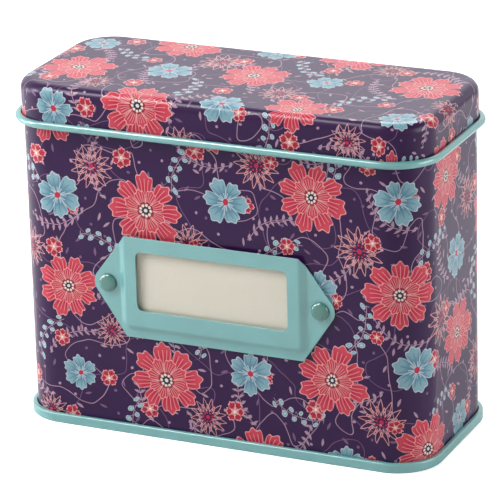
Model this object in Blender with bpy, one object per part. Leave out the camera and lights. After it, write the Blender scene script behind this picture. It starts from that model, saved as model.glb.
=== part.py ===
"""Prayer card tin: a tinplate box with a slip-over lid, a riveted label holder and its cards.

Metres, +Z up. The origin is the middle of the face that the tin stands on, the width runs
along X and the front, with the label holder, faces -Y.
"""
import bpy
import bmesh
from math import cos, hypot, pi, radians, sin, sqrt
from mathutils import Vector
from mathutils.geometry import delaunay_2d_cdt

MM = 0.001

# Sheet metal and the gaps that keep touching pieces apart
SHEET = 0.3 * MM
FIT = 0.3 * MM

# Body: a tube with rounded corners, wrapped from one sheet
BODY_WIDTH = 133.0 * MM
BODY_DEPTH = 57.0 * MM
CORNER_RADIUS = 12.7 * MM
MOUTH_CURL_RADIUS = 0.9 * MM
MOUTH_CURL_TURN = radians(290)

# Lock seam, folded to the inside of the back wall
SEAM_STRIP_WIDTH = 3.6 * MM
SEAM_STRIP_THICKNESS = 0.6 * MM
SEAM_STRIP_END_GAP = 1.5 * MM

# Base: a pressed plate, double seamed round the foot of the body
RIM_HEIGHT = 3.05 * MM
RIM_PROUD = 1.6 * MM
RIM_ROUND = 0.45 * MM
SEAM_WEB = 0.45 * MM
PANEL_RISE = 2.2 * MM
PANEL_BEND = 0.45 * MM
PANEL_STEP = 0.5 * MM
PANEL_STEP_INSET = 8.0 * MM
PANEL_STEP_RUN = 1.2 * MM

# Lid: one drawn cap, its skirt rolled outward into a curl
TIN_HEIGHT = 108.5 * MM
SHOULDER_RADIUS = 3.3 * MM
LID_CURL_RADIUS = 1.15 * MM
LID_CURL_TURN = radians(298)
LID_DEPTH = 13.1 * MM

# Label holder: a pressed plate with a raised, open-topped channel and two ears
HOLDER_SHEET = 0.4 * MM
HOLDER_LOW = 31.8 * MM
HOLDER_HEIGHT = 32.8 * MM
HOLDER_FOOT_INSET = 1.8 * MM
HOLDER_TOP_INSET = 2.4 * MM
EAR_RADIUS = 4.6 * MM
CHANNEL_FOOT_WIDTH = 62.0 * MM
CHANNEL_FLANGE = 1.9 * MM
CHANNEL_STEP_RUN = 2.4 * MM
CHANNEL_RISE = 1.1 * MM
CHANNEL_CORNER = 0.9 * MM
WINDOW_SIDE = 3.5 * MM
WINDOW_SILL = 9.4 * MM
WINDOW_HEAD = 4.5 * MM
WINDOW_CORNER = 2.0 * MM

# Rivets through the ears and the front wall
RIVET_OFFSET = 3.9 * MM
RIVET_ABOVE_MIDDLE = 0.35 * MM
RIVET_HEAD_RADIUS = 2.75 * MM
RIVET_HEAD_HEIGHT = 1.3 * MM
RIVET_SHANK_RADIUS = 1.5 * MM
RIVET_TAIL_RADIUS = 2.4 * MM
RIVET_TAIL_HEIGHT = 0.8 * MM
RIVET_TAIL_ROUND = 0.3 * MM

# Label card, standing in the channel
LABEL_THICKNESS = 0.35 * MM
LABEL_SIDE_PLAY = 0.7 * MM
LABEL_TOP_GAP = 1.8 * MM
LABEL_CORNER = 0.8 * MM

# Prayer cards and tabbed dividers, standing on edge in the tin
CARD_WIDTH = 127.0 * MM
CARD_HEIGHT = 76.2 * MM
CARD_THICKNESS = 0.35 * MM
CARD_CORNER = 3.0 * MM
CARD_PITCH = 0.75 * MM
DIVIDER_HEIGHT = 79.4 * MM
TAB_HEIGHT = 9.5 * MM
TAB_WIDTH = 29.0 * MM
TAB_CORNER = 2.5 * MM
DIVIDER_COUNT = 4
CARDS_PER_DIVIDER = 4

# How far cutters reach past what they cut, and the weld of the holder's flat blank, in millimetres
CUT_OVERRUN = 0.8 * MM
BLANK_WELD = 0.001

# Facets
CORNER_STEPS = 9
SHOULDER_STEPS = 6
CURL_STEPS = 12
MOUTH_STEPS = 9
ROUND_STEPS = 3
TURN_STEPS = 28
HEAD_STEPS = 6
CHANNEL_STEPS = 5
SMOOTH_ANGLE = radians(35)

# Places worked out from the sizes above
FRONT_WALL = -BODY_DEPTH / 2
LID_INSIDE = FIT
LID_OUTSIDE = LID_INSIDE + SHEET
BODY_FOOT = SEAM_WEB + FIT
PANEL_TOP = PANEL_RISE + SHEET
CARD_FOOT = PANEL_TOP + FIT
MOUTH_CENTRE = TIN_HEIGHT - SHOULDER_RADIUS
LID_SKIRT_END = TIN_HEIGHT - LID_DEPTH
HOLDER_TOP = HOLDER_LOW + HOLDER_HEIGHT
CHANNEL_FOOT = CHANNEL_FOOT_WIDTH / 2
CHANNEL_FACE = CHANNEL_FOOT - CHANNEL_STEP_RUN
CHANNEL_SILL = HOLDER_LOW + CHANNEL_FLANGE + CHANNEL_STEP_RUN
RIVET_X = CHANNEL_FOOT + RIVET_OFFSET
RIVET_HEIGHT = HOLDER_LOW + HOLDER_HEIGHT / 2 + RIVET_ABOVE_MIDDLE


def material(name, colour, roughness, metallic=0.0):
    """Principled material of one colour, linear RGB."""
    mat = bpy.data.materials.new(name)
    mat.use_nodes = True
    shader = mat.node_tree.nodes["Principled BSDF"]
    shader.inputs["Base Color"].default_value = (*colour, 1.0)
    shader.inputs["Roughness"].default_value = roughness
    shader.inputs["Metallic"].default_value = metallic
    mat.diffuse_color = (*colour, 1.0)
    return mat


def add_object(name, mesh, mat):
    """Object with outward faces and smooth rounds, linked into the scene."""
    bm = bmesh.new()
    bm.from_mesh(mesh)
    bmesh.ops.recalc_face_normals(bm, faces=bm.faces)
    bm.to_mesh(mesh)
    bm.free()
    mesh.shade_smooth()
    mesh.set_sharp_from_angle(angle=SMOOTH_ANGLE)
    obj = bpy.data.objects.new(name, mesh)
    obj.data.materials.append(mat)
    bpy.context.collection.objects.link(obj)
    return obj


def loft(name, rings, closed):
    """Mesh through rings of points: joined end to end if closed, else capped at both ends."""
    count = len(rings[0])
    verts = [point for ring in rings for point in ring]
    faces = []
    spans = len(rings) if closed else len(rings) - 1
    for i in range(spans):
        here = i * count
        there = ((i + 1) % len(rings)) * count
        for j in range(count):
            k = (j + 1) % count
            faces.append((here + j, here + k, there + k, there + j))
    if not closed:
        faces.append(tuple(range(count)))
        faces.append(tuple(range(len(verts) - count, len(verts))))
    mesh = bpy.data.meshes.new(name)
    mesh.from_pydata(verts, [], faces)
    return mesh


def arc(centre, radius, start, turn, steps):
    """Points of an arc in a plane; angles run anticlockwise from the first axis."""
    points = []
    for i in range(steps + 1):
        angle = start + turn * i / steps
        points.append((centre[0] + radius * cos(angle), centre[1] + radius * sin(angle)))
    return points


def rounded_rectangle(half_width, half_height, radius, steps):
    """Corner arcs of a rectangle about the origin, anticlockwise."""
    points = []
    for quarter, (sx, sy) in enumerate(((1, 1), (-1, 1), (-1, -1), (1, -1))):
        centre = (sx * (half_width - radius), sy * (half_height - radius))
        points += arc(centre, radius, quarter * pi / 2, pi / 2, steps)
    return points


def tin_ring(outset, height):
    """The body's plan outline, moved outward by outset, at one height."""
    outline = rounded_rectangle(BODY_WIDTH / 2 + outset, BODY_DEPTH / 2 + outset,
                                CORNER_RADIUS + outset, CORNER_STEPS)
    return [(x, y, height) for x, y in outline]


def tin_shell(name, profile, closed):
    """A profile of (outset, height) points swept round the tin's plan outline."""
    return loft(name, [tin_ring(outset, height) for outset, height in profile], closed)


def body_profile():
    """Wall of one sheet with its mouth curled inward, a safe edge."""
    centre = (-MOUTH_CURL_RADIUS, MOUTH_CENTRE)
    outer = arc(centre, MOUTH_CURL_RADIUS, 0, MOUTH_CURL_TURN, MOUTH_STEPS)
    inner = arc(centre, MOUTH_CURL_RADIUS - SHEET, MOUTH_CURL_TURN, -MOUTH_CURL_TURN, MOUTH_STEPS)
    return [(0, BODY_FOOT)] + outer + inner + [(-SHEET, BODY_FOOT)]


def lid_profile():
    """Flat top, drawn shoulder, skirt, and the sheet rolled outward into an open curl."""
    shoulder = (LID_OUTSIDE - SHOULDER_RADIUS, TIN_HEIGHT - SHOULDER_RADIUS)
    curl = (LID_INSIDE + LID_CURL_RADIUS, LID_SKIRT_END + LID_CURL_RADIUS)
    inner_curl = LID_CURL_RADIUS - SHEET
    end = pi + LID_CURL_TURN
    points = arc(shoulder, SHOULDER_RADIUS, pi / 2, -pi / 2, SHOULDER_STEPS)
    points += arc(curl, inner_curl, pi, LID_CURL_TURN, CURL_STEPS)
    points += arc(curl, LID_CURL_RADIUS, end, -LID_CURL_TURN, CURL_STEPS)
    points += arc(shoulder, SHOULDER_RADIUS - SHEET, 0, pi / 2, SHOULDER_STEPS)
    return points


def base_profile():
    """Recessed panel, the wall it hangs on, and the seam folded round the body's foot."""
    slot_in = -SHEET - FIT
    slot_out = FIT
    wall_in = slot_in - SHEET
    step_out = -PANEL_STEP_INSET
    step_in = step_out - PANEL_STEP_RUN
    bend = (slot_in - PANEL_BEND, PANEL_TOP - PANEL_BEND)
    rim_top = (RIM_PROUD - RIM_ROUND, RIM_HEIGHT - RIM_ROUND)
    rim_foot = (RIM_PROUD - RIM_ROUND, RIM_ROUND)
    points = [(step_in, PANEL_TOP - PANEL_STEP), (step_out, PANEL_TOP)]
    points += arc(bend, PANEL_BEND, pi / 2, -pi / 2, ROUND_STEPS)
    points += [(slot_in, SEAM_WEB), (slot_out, SEAM_WEB), (slot_out, RIM_HEIGHT)]
    points += arc(rim_top, RIM_ROUND, pi / 2, -pi / 2, ROUND_STEPS)
    points += arc(rim_foot, RIM_ROUND, 0, -pi / 2, ROUND_STEPS)
    points += [(wall_in, 0), (wall_in, PANEL_RISE), (step_out, PANEL_RISE)]
    points += [(step_in, PANEL_RISE - PANEL_STEP)]
    return points


def on_front(x, outset, z):
    """A point so far in front of the body's front wall."""
    return (x, FRONT_WALL - outset, z)


def box_mesh(name, low, high):
    """Box between two corners."""
    flat = [(low[0], low[1]), (high[0], low[1]), (high[0], high[1]), (low[0], high[1])]
    return loft(name, [[(x, y, z) for x, y in flat] for z in (low[2], high[2])], closed=False)


def turned(name, profile, x, z):
    """A (radius, outset) profile turned about a line square to the front wall."""
    rings = []
    for radius, outset in profile:
        circle = arc((x, z), radius, 0, 2 * pi, TURN_STEPS)[:-1]
        rings.append([on_front(px, outset, pz) for px, pz in circle])
    return loft(name, rings, closed=False)


def plate(name, outline, rear, thickness, mat):
    """Flat piece standing across the tin, its outline given as (x, z) points."""
    rings = [[(x, y, z) for x, z in outline] for y in (rear - thickness, rear)]
    return add_object(name, loft(name, rings, closed=False), mat)


def modifier(obj, cutter, operation):
    """Boolean of a hidden cutter, which stays in the file."""
    cutter.hide_render = True
    cutter.display_type = "WIRE"
    boolean = obj.modifiers.new(operation.title(), "BOOLEAN")
    boolean.operation = operation
    boolean.solver = "EXACT"
    boolean.object = cutter


def make_body(mat):
    """Wrapped wall with its lock seam inside the back and two rivet holes in the front."""
    body = add_object("body_shell", tin_shell("body_shell", body_profile(), closed=True), mat)
    seam_low = PANEL_TOP + SEAM_STRIP_END_GAP
    seam_high = MOUTH_CENTRE - MOUTH_CURL_RADIUS - SEAM_STRIP_END_GAP
    back = BODY_DEPTH / 2 - SHEET
    low = (-SEAM_STRIP_WIDTH / 2, back - SEAM_STRIP_THICKNESS, seam_low)
    high = (SEAM_STRIP_WIDTH / 2, back + SHEET / 2, seam_high)
    modifier(body, add_object("seam_guide", box_mesh("seam_guide", low, high), mat), "UNION")
    hole = RIVET_SHANK_RADIUS + FIT
    for side in (-1, 1):
        profile = [(hole, CUT_OVERRUN), (hole, -CUT_OVERRUN)]
        name = "rivet_hole_guide"
        drill = turned(name, profile, side * RIVET_X, RIVET_HEIGHT)
        modifier(body, add_object(name, drill, mat), "DIFFERENCE")
    return body


def ear_outline():
    """Holder outline: straight top and bottom edges, sides drawn out to rounded ears."""
    foot = (CHANNEL_FOOT - HOLDER_FOOT_INSET, HOLDER_LOW)
    top = (CHANNEL_FOOT - HOLDER_TOP_INSET, HOLDER_TOP)
    points = []
    for side, corners in ((1, (foot, top)), (-1, (top, foot))):
        tangents = []
        for corner_x, corner_z in corners:
            dx, dz = corner_x - RIVET_X, corner_z - RIVET_HEIGHT
            reach = hypot(dx, dz)
            along = EAR_RADIUS ** 2 / reach ** 2
            across = EAR_RADIUS * sqrt(reach ** 2 - EAR_RADIUS ** 2) / reach ** 2
            turn = 1 if dz < 0 else -1
            tangents.append((dx * along - turn * dz * across, dz * along + turn * dx * across))
        first, last = tangents
        spread = Vector(first).angle_signed(Vector(last))
        points.append((side * corners[0][0], corners[0][1]))
        for i in range(2 * CORNER_STEPS + 1):
            turned_by = -spread * i / (2 * CORNER_STEPS)
            px = first[0] * cos(turned_by) - first[1] * sin(turned_by)
            pz = first[0] * sin(turned_by) + first[1] * cos(turned_by)
            points.append((side * (RIVET_X + px), RIVET_HEIGHT + pz))
        points.append((side * corners[1][0], corners[1][1]))
    return points


def channel_line(inset):
    """U-shaped line of the channel's step, so far in from its foot, open at the top."""
    half = CHANNEL_FOOT - inset
    low = HOLDER_LOW + CHANNEL_FLANGE + inset
    radius = CHANNEL_CORNER + CHANNEL_STEP_RUN - inset
    left = arc((-half + radius, low + radius), radius, pi, pi / 2, CHANNEL_STEPS)
    right = arc((half - radius, low + radius), radius, 1.5 * pi, pi / 2, CHANNEL_STEPS)
    above = HOLDER_TOP + CHANNEL_FLANGE
    return [(-half, above)] + left + right + [(half, above)]


def channel_depth(x, z):
    """How far a point lies inside the channel's foot line."""
    radius = CHANNEL_CORNER + CHANNEL_STEP_RUN
    side = CHANNEL_FOOT - abs(x)
    low = z - HOLDER_LOW - CHANNEL_FLANGE
    if side < radius and low < radius:
        return radius - hypot(radius - side, radius - low)
    return min(side, low)


def channel_height(x, z):
    """Height of the pressed sheet: flat flange, eased step, flat channel face."""
    share = min(max(channel_depth(x, z) / CHANNEL_STEP_RUN, 0), 1)
    return CHANNEL_RISE * share * share * (3 - 2 * share)


def inside(x, z, polygon):
    """Whether a point lies inside a polygon."""
    found = False
    for (ax, az), (bx, bz) in zip(polygon, polygon[1:] + polygon[:1]):
        if (az > z) != (bz > z) and x < ax + (z - az) * (bx - ax) / (bz - az):
            found = not found
    return found


def window_outline():
    """Rounded window in the channel's face."""
    half_width = CHANNEL_FACE - WINDOW_SIDE
    half_height = (HOLDER_HEIGHT - WINDOW_SILL - WINDOW_HEAD) / 2
    middle = HOLDER_LOW + WINDOW_SILL + half_height
    corners = rounded_rectangle(half_width, half_height, WINDOW_CORNER, CHANNEL_STEPS)
    return [(x, z + middle) for x, z in corners]


def make_label_holder(mat):
    """Pressed label holder: a flat blank with its window and holes, raised into a channel."""
    outline = ear_outline()
    hole = RIVET_SHANK_RADIUS + FIT
    openings = [window_outline()]
    for side in (-1, 1):
        centre = (side * RIVET_X, RIVET_HEIGHT)
        openings.append(arc(centre, hole, 0, 2 * pi, TURN_STEPS)[:-1])
    points = []
    edges = []
    for loop in [outline] + openings:
        start = len(points)
        points += loop
        edges += [(start + i, start + (i + 1) % len(loop)) for i in range(len(loop))]
    for i in range(CHANNEL_STEPS + 1):
        start = len(points)
        line = channel_line(CHANNEL_STEP_RUN * i / CHANNEL_STEPS)
        points += line
        edges += [(start + k, start + k + 1) for k in range(len(line) - 1)]
    cut = delaunay_2d_cdt([Vector((x / MM, z / MM)) for x, z in points], edges, [], 0, BLANK_WELD)
    flat = [(v.x * MM, v.y * MM) for v in cut[0]]
    faces = []
    for face in cut[2]:
        x = sum(flat[i][0] for i in face) / len(face)
        z = sum(flat[i][1] for i in face) / len(face)
        if inside(x, z, outline) and not any(inside(x, z, loop) for loop in openings):
            faces.append(face)
    used = sorted({i for face in faces for i in face})
    place = {old: new for new, old in enumerate(used)}
    back = FIT
    verts = [on_front(flat[i][0], back + channel_height(*flat[i]), flat[i][1]) for i in used]
    mesh = bpy.data.meshes.new("label_holder")
    mesh.from_pydata(verts, [], [[place[i] for i in face] for face in faces])
    bm = bmesh.new()
    bm.from_mesh(mesh)
    for face in bm.faces:
        face.normal_update()
        if face.normal.y > 0:
            face.normal_flip()
    bm.to_mesh(mesh)
    bm.free()
    mesh.shade_smooth()
    mesh.set_sharp_from_angle(angle=SMOOTH_ANGLE)
    holder = bpy.data.objects.new("label_holder", mesh)
    mesh.materials.append(mat)
    bpy.context.collection.objects.link(holder)
    solidify = holder.modifiers.new("Sheet", "SOLIDIFY")
    solidify.thickness = HOLDER_SHEET
    solidify.offset = 1
    return holder


def make_rivet(name, side, mat):
    """Domed head outside, shank through ear and wall, flattened tail inside."""
    seat = FIT + HOLDER_SHEET + FIT
    tail = -SHEET - FIT
    profile = []
    for i in range(1, HEAD_STEPS + 1):
        angle = pi / 2 * i / HEAD_STEPS
        radius = RIVET_HEAD_RADIUS * sqrt(sin(angle))
        rise = RIVET_HEAD_HEIGHT * sqrt(max(cos(angle), 0))
        profile.append((radius, seat + rise))
    profile += [(RIVET_SHANK_RADIUS, seat), (RIVET_SHANK_RADIUS, tail), (RIVET_TAIL_RADIUS, tail)]
    corner = (RIVET_TAIL_RADIUS - RIVET_TAIL_ROUND, tail - RIVET_TAIL_HEIGHT + RIVET_TAIL_ROUND)
    profile += arc(corner, RIVET_TAIL_ROUND, 0, -pi / 2, ROUND_STEPS)
    return add_object(name, turned(name, profile, side * RIVET_X, RIVET_HEIGHT), mat)


def make_label(mat):
    """Blank label card behind the window, on the tin's wall, its foot in the channel's lower step."""
    half_width = CHANNEL_FACE - LABEL_SIDE_PLAY
    foot = CHANNEL_SILL - CHANNEL_STEP_RUN / 2 + FIT
    half_height = (HOLDER_TOP - LABEL_TOP_GAP - foot) / 2
    middle = foot + half_height
    corners = rounded_rectangle(half_width, half_height, LABEL_CORNER, ROUND_STEPS)
    outline = [(x, z + middle) for x, z in corners]
    return plate("label_card", outline, FRONT_WALL - FIT, LABEL_THICKNESS, mat)


def card_outline():
    """A card with round corners, standing on the base panel."""
    middle = CARD_FOOT + CARD_HEIGHT / 2
    corners = rounded_rectangle(CARD_WIDTH / 2, CARD_HEIGHT / 2, CARD_CORNER, ROUND_STEPS)
    return [(x, z + middle) for x, z in corners]


def divider_outline(tab_middle):
    """A divider with round corners and one raised tab, its places run anticlockwise."""
    half = CARD_WIDTH / 2
    top = CARD_FOOT + DIVIDER_HEIGHT
    tab_top = top + TAB_HEIGHT
    right = tab_middle + TAB_WIDTH / 2
    left = tab_middle - TAB_WIDTH / 2
    round_low = CARD_FOOT + CARD_CORNER
    points = arc((half - CARD_CORNER, round_low), CARD_CORNER, -pi / 2, pi / 2, ROUND_STEPS)
    points += arc((half - CARD_CORNER, top - CARD_CORNER), CARD_CORNER, 0, pi / 2, ROUND_STEPS)
    points += [(right, top)]
    points += arc((right - TAB_CORNER, tab_top - TAB_CORNER), TAB_CORNER, 0, pi / 2, ROUND_STEPS)
    points += arc((left + TAB_CORNER, tab_top - TAB_CORNER), TAB_CORNER, pi / 2, pi / 2, ROUND_STEPS)
    points += [(left, top)]
    points += arc((CARD_CORNER - half, top - CARD_CORNER), CARD_CORNER, pi / 2, pi / 2, ROUND_STEPS)
    points += arc((CARD_CORNER - half, round_low), CARD_CORNER, pi, pi / 2, ROUND_STEPS)
    return points


def rear_of_row():
    """How far back a card can stand and still lift out past the mouth's curled corners."""
    mouth_radius = CORNER_RADIUS - 2 * MOUTH_CURL_RADIUS
    centre_x = BODY_WIDTH / 2 - CORNER_RADIUS
    centre_y = BODY_DEPTH / 2 - CORNER_RADIUS
    over = max(CARD_WIDTH / 2 - centre_x, 0)
    return centre_y + sqrt(max((mouth_radius - FIT) ** 2 - over ** 2, 0))


def make_cards(card_mat, divider_mat):
    """The row from front to back: each divider, then the cards filed behind it."""
    group = CARDS_PER_DIVIDER + 1
    row = DIVIDER_COUNT * group
    tab_travel = CARD_WIDTH - 2 * CARD_CORNER - TAB_WIDTH
    rear = rear_of_row()
    for place in range(row):
        y = rear - (row - 1 - place) * CARD_PITCH
        number, behind = divmod(place, group)
        if behind:
            name = f"card_{number * CARDS_PER_DIVIDER + behind:02d}"
            plate(name, card_outline(), y, CARD_THICKNESS, card_mat)
            continue
        middle = tab_travel * (number / max(DIVIDER_COUNT - 1, 1) - 1 / 2)
        name = f"divider_{number + 1}"
        plate(name, divider_outline(middle), y, CARD_THICKNESS, divider_mat)


def main():
    for obj in list(bpy.data.objects):
        bpy.data.objects.remove(obj)
    printed = material("Printed tinplate", (0.055, 0.027, 0.09), 0.35)
    teal = material("Teal enamel", (0.24, 0.52, 0.49), 0.4)
    paper = material("Cream label paper", (0.73, 0.67, 0.55), 0.85)
    card = material("Blank card stock", (0.85, 0.83, 0.78), 0.85)
    divider = material("Divider stock", (0.42, 0.6, 0.6), 0.85)
    make_body(printed)
    add_object("base_plate", tin_shell("base_plate", base_profile(), closed=False), teal)
    add_object("lid_shell", tin_shell("lid_shell", lid_profile(), closed=False), printed)
    make_label_holder(teal)
    make_rivet("rivet_left", -1, teal)
    make_rivet("rivet_right", 1, teal)
    make_label(paper)
    make_cards(card, divider)


main()
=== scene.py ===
"""Looks of the prayer card tin: its printed and enamelled tinplate, paper, floor, light and camera.

Metres, +Z up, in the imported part's own frame. The front, with the label holder, faces -Y.
"""
from collections import namedtuple
from math import cos, hypot, pi, radians, sin, sqrt

import bmesh
import bpy
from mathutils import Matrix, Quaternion, Vector
from mathutils.geometry import delaunay_2d_cdt


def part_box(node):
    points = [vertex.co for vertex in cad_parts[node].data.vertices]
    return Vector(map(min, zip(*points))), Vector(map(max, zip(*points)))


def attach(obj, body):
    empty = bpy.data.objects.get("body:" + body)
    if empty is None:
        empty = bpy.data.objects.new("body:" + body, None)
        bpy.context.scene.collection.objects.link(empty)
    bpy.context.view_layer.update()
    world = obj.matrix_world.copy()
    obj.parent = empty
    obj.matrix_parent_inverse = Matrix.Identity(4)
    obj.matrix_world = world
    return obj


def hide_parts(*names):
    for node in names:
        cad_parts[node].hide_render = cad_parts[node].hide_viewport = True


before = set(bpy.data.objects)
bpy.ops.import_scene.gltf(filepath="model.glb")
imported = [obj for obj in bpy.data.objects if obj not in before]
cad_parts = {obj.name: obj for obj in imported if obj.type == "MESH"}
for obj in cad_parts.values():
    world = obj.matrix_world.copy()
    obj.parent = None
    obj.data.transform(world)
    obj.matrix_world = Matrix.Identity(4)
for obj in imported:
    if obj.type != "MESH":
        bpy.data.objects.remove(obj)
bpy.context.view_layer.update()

MM = 0.001

# Camera, from a fit of the tin's outline points
CAMERA_AZIMUTH = radians(24.714)
CAMERA_ELEVATION = radians(20.065)
CAMERA_ROLL = radians(1.525)
CAMERA_DISTANCE = 1.0598
CAMERA_LENS_MM = 249.8
CAMERA_AIM_HEIGHT = 54.0 * MM
CAMERA_AIM_LEFT = 0.737 * MM
CAMERA_AIM_DOWN = 0.565 * MM
CAMERA_SENSOR_MM = 36.0
CAMERA_NEAR = 0.05
CAMERA_FAR = 20.0

# Sheet metal sizes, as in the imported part; only the scene has the seam's groove and FLAT_EDGE
SHEET = 0.3 * MM
FIT = 0.3 * MM
CORNER_RADIUS = 12.7 * MM
MOUTH_CURL_RADIUS = 0.9 * MM
MOUTH_CURL_TURN = radians(290)
SEAM_HALF_WIDTH = 1.8 * MM
SEAM_PAD = 0.6 * MM
SEAM_GROOVE = 0.12 * MM
SEAM_GROOVE_HALF_WIDTH = 0.3 * MM
SEAM_END_GAP = 1.5 * MM
RIM_PROUD = 1.6 * MM
RIM_ROUND = 0.45 * MM
SEAM_WEB = 0.45 * MM
PANEL_RISE = 2.2 * MM
PANEL_BEND = 0.45 * MM
PANEL_STEP = 0.5 * MM
PANEL_STEP_INSET = 8.0 * MM
PANEL_STEP_RUN = 1.2 * MM
SHOULDER_RADIUS = 3.3 * MM
LID_CURL_RADIUS = 1.15 * MM
LID_CURL_TURN = radians(298)
FLAT_EDGE = 0.6 * MM

# Label holder and rivets; channel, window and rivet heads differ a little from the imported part's
HOLDER_SHEET = 0.4 * MM
HOLDER_FOOT_INSET = 1.8 * MM
HOLDER_TOP_INSET = 2.4 * MM
HOLDER_EDGE_ROUND = 0.1 * MM
EAR_RADIUS = 4.6 * MM
CHANNEL_FOOT = 31.0 * MM
CHANNEL_FLANGE = 1.9 * MM
CHANNEL_STEP_RUN = 2.8 * MM
CHANNEL_RISE = 1.3 * MM
CHANNEL_CORNER = 0.9 * MM
CHANNEL_EASE_SHARE = 0.42
PROBES_PER_RUN = 1000
WINDOW_SIDE = 3.4 * MM
WINDOW_SILL = 9.4 * MM
WINDOW_HEAD = 4.5 * MM
WINDOW_CORNER = 2.0 * MM
RIVET_SHANK_RADIUS = 1.5 * MM
RIVET_HEAD_RADIUS = 2.85 * MM
RIVET_HEAD_HEIGHT = 1.3 * MM
HEAD_SQUARENESS = 0.95
SET_MARK_RADIUS = 1.15 * MM
SET_MARK_DEPTH = 0.1 * MM
RIVET_TAIL_RADIUS = 2.4 * MM
RIVET_TAIL_HEIGHT = 0.8 * MM
RIVET_TAIL_ROUND = 0.3 * MM
BLANK_WELD = 0.001

# Facets of the dressed pieces
CORNER_STEPS = 28
SHOULDER_STEPS = 16
CURL_STEPS = 24
MOUTH_STEPS = 16
ROUND_STEPS = 5
CHANNEL_STEPS = 12
EDGE_STEPS = 3
RIVET_STEPS = 64
HEAD_STEPS = 16
SMOOTH_ANGLE = radians(35)

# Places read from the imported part
body_low, body_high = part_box("body_shell")
lid_low, lid_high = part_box("lid_shell")
_, base_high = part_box("base_plate")
holder_low, holder_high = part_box("label_holder")
rivet_low, rivet_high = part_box("rivet_right")

HALF_WIDTH = body_high.x
HALF_DEPTH = body_high.y
FRONT_WALL = -HALF_DEPTH
BODY_FOOT = body_low.z
MOUTH_CENTRE = body_high.z - MOUTH_CURL_RADIUS
TIN_HEIGHT = lid_high.z
LID_SKIRT_END = lid_low.z
LID_INSIDE = FIT
LID_OUTSIDE = LID_INSIDE + SHEET
RIM_HEIGHT = base_high.z
PANEL_TOP = PANEL_RISE + SHEET
RIVET_X = (rivet_low.x + rivet_high.x) / 2
RIVET_HEIGHT = (rivet_low.z + rivet_high.z) / 2


def srgb(red, green, blue):
    """A colour of 0 to 255 levels, as a linear one."""
    return tuple((level / 255) ** 2.2 for level in (red, green, blue)) + (1.0,)


# Inks, enamel and paper
PURPLE = srgb(58, 20, 77)
PURPLE_DEEP = srgb(48, 12, 67)
LILAC = srgb(186, 150, 172)
LILAC_DIM = srgb(126, 92, 130)
PINK_LINE = srgb(244, 172, 170)
CORAL = srgb(206, 42, 74)
CORAL_DEEP = srgb(162, 20, 54)
CORAL_PALE = srgb(224, 80, 98)
BLUE = srgb(138, 180, 194)
BLUE_DEEP = srgb(92, 138, 162)
BERRY = srgb(198, 214, 222)
CREAM = srgb(240, 234, 218)
TEAL = srgb(113, 180, 180)
# Rivet enamel: a greener teal than the holder's own, darkened further as painted shade for the shaded lower
# side of the domes
RIVET_TEAL_WITH_PAINTED_SHADE = srgb(50, 124, 112)
LABEL_CREAM = srgb(238, 232, 216)
CARD_WHITE = srgb(240, 236, 226)
CARD_RULE = srgb(160, 190, 205)
DIVIDER_MINT = srgb(176, 208, 203)
TINPLATE = srgb(206, 206, 202)

# Finishes that are the same all over a surface
VARNISH_COAT = {"Coat_Weight": 1.0, "Coat_Roughness": 0.28, "Coat_IOR": 1.34, "Specular_IOR_Level": 0.05}
ENAMEL_COAT = {"Coat_Weight": 1.0, "Coat_Roughness": 0.22, "Coat_IOR": 1.85, "Specular_IOR_Level": 0.3}
PAPER_FINISH = {"Roughness": 0.9, "Specular_IOR_Level": 0.25}
FLOOR_FINISH = {"Roughness": 0.9, "Specular_IOR_Level": 0.1}

# Floor and surroundings
FLOOR_WHITE = srgb(232, 232, 232)
FLOOR_GLOW = 0.7
FLOOR_MIRRORED = 0.2
AMBIENT = 0.05
CEILING = 0.4
BACKDROP_TOP = 0.35
CEILING_START = 0.95
FLOOR_REACH = 4.0

# Lamps: name, place in metres, width, height and watts
LAMPS = (("key", (-0.66, -0.34, 0.4), 0.2, 0.2, 2.9),
         ("overhead", (-0.4, -0.36, 0.84), 0.3, 0.3, 4.6),
         ("left", (-0.9, -0.14, 0.1), 0.4, 0.3, 2.2),
         ("right", (0.85, 0.05, 0.3), 0.5, 0.5, 3.4),
         ("back", (-0.1, 0.6, 0.85), 0.5, 0.5, 5.6))

# Places on the baked sheet, in shares of its side
BAKE_EDGE = 0.005
BAKE_WALL_SCALE = 0.49
BAKE_FRONT_HALF = 0.505
BAKE_INSIDE_START = 0.855
BAKE_INSIDE_WIDTH = 0.14
BAKE_INSIDE_LENGTH = 0.99
BAKE_LID_HALF_WIDTH = 0.495
BAKE_LID_HALF_DEPTH = 0.27
BAKE_LID_MIDDLE = (0.5, 0.275)
BAKE_LID_INSIDE_HALF_DEPTH = 0.215
BAKE_LID_INSIDE_MIDDLE = (0.5, 0.775)

# Print, in millimetres on the flat sheet
UNIT = 1.0 / MM
INK_EDGE = 0.07
LATTICE_TURN = radians(38)
LATTICE_PITCH = 38.5
WOBBLE_SIZE = 7.0
WOBBLE_REACH = 0.8


class Term:
    """An output of a node, which can be used in plain sums."""

    def __init__(self, graph, socket):
        self.graph = graph
        self.socket = socket

    def __add__(self, other):
        return self.graph.math("ADD", self, other)

    def __radd__(self, other):
        return self.graph.math("ADD", other, self)

    def __sub__(self, other):
        return self.graph.math("SUBTRACT", self, other)

    def __rsub__(self, other):
        return self.graph.math("SUBTRACT", other, self)

    def __mul__(self, other):
        return self.graph.math("MULTIPLY", self, other)

    def __rmul__(self, other):
        return self.graph.math("MULTIPLY", other, self)

    def __truediv__(self, other):
        return self.graph.math("DIVIDE", self, other)

    def __rtruediv__(self, other):
        return self.graph.math("DIVIDE", other, self)

    def __abs__(self):
        return self.graph.math("ABSOLUTE", self)


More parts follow.
